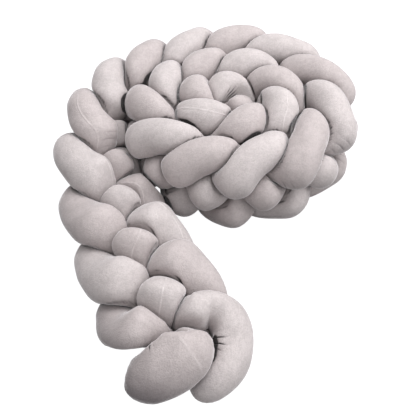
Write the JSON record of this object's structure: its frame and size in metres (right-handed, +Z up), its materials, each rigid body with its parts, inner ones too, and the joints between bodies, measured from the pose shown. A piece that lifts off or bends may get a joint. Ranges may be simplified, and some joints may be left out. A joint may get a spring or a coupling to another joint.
{
  "type": "crib bumper",
  "caption": "Plaited crib bumper of stuffed velvet tubes, standing on its edge in a coil with its end laid out flat on the surface, made to line the sides of a cot.",
  "frame": {"origin": "centre of the bounding box's footprint, on the surface that the bumper lies on", "axes": "+Z up from the surface, +Y from the loose end towards the coil, +X to the picture's right"},
  "size_m": [0.6374, 0.8508, 0.2118],
  "materials": {
    "velvet_light": "warm pale greige velvet, nap lying towards the viewer",
    "velvet_dark": "the same velvet, nap lying the other way, so it looks darker"
  },
  "bodies": {
    "root": {"strand_a": "velvet_light", "strand_b": "velvet_dark", "strand_c": "velvet_light", "strand_d": "velvet_dark"}
  },
  "joints": []
}
